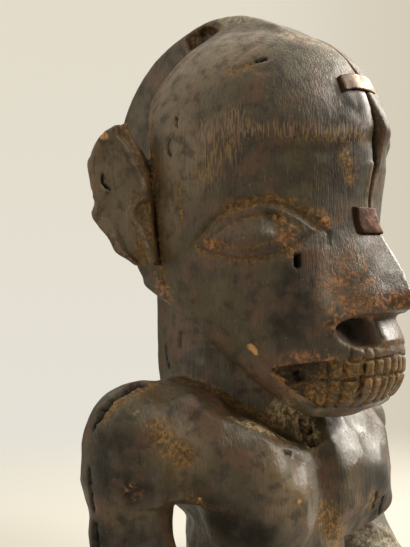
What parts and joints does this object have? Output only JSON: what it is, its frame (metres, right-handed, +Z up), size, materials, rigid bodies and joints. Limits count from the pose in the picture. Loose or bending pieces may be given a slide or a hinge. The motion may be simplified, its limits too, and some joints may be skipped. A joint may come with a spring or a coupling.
{
  "type": "reliquary figure bust",
  "caption": "Carved dark wooden guardian figure shown as a bust: crested domed head, almond eyes, broad nose, bared teeth, long neck, square shoulders and breasts, cut flat below.",
  "frame": {"origin": "on the flat cut under the torso, straight below the axis of the neck", "axes": "+Z up along the neck, the face towards -Y, the figure's own right hand towards -X"},
  "size_m": [0.1622, 0.1263, 0.2236],
  "materials": {
    "carved_wood": "crusty dark brown patina, half glossy, with ochre dirt in the hollows and worn reddish edges",
    "copper_strip": "thin sheet copper, dulled, bright along its edges",
    "dark_strip": "thin sheet metal with a dark reddish brown tarnish"
  },
  "bodies": {
    "root": {"carved_bust": "carved_wood", "crown_strip": "copper_strip", "brow_strip": "dark_strip"}
  },
  "joints": []
}
